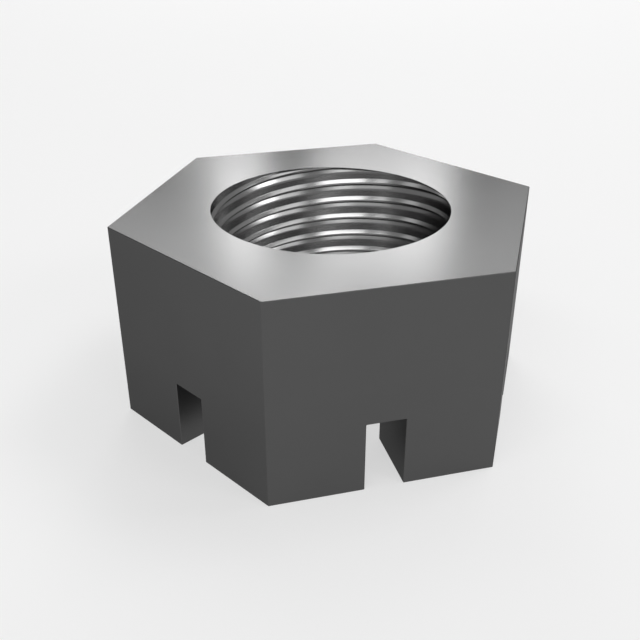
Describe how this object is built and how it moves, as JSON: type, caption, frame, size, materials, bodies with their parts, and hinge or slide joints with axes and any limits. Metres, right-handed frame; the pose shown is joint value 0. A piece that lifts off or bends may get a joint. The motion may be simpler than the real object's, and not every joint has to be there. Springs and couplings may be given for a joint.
{
  "type": "castle nut",
  "caption": "Thin hexagonal castle nut, crown down, with a plain bearing face, a threaded hole and a split-pin slot through the middle of each flat.",
  "frame": {"origin": "on the thread's axis, at the foot of the crown, which is what the nut stands on", "axes": "+Z along the thread's axis, from the slotted crown to the plain bearing face; two corners of the hexagon lie on the Y axis, and one pair of slots and flats lies on the X axis"},
  "size_m": [0.055, 0.0636, 0.03],
  "materials": {
    "satin_steel": "satin"
  },
  "bodies": {
    "root": {"castle_nut": "satin_steel"}
  },
  "joints": []
}
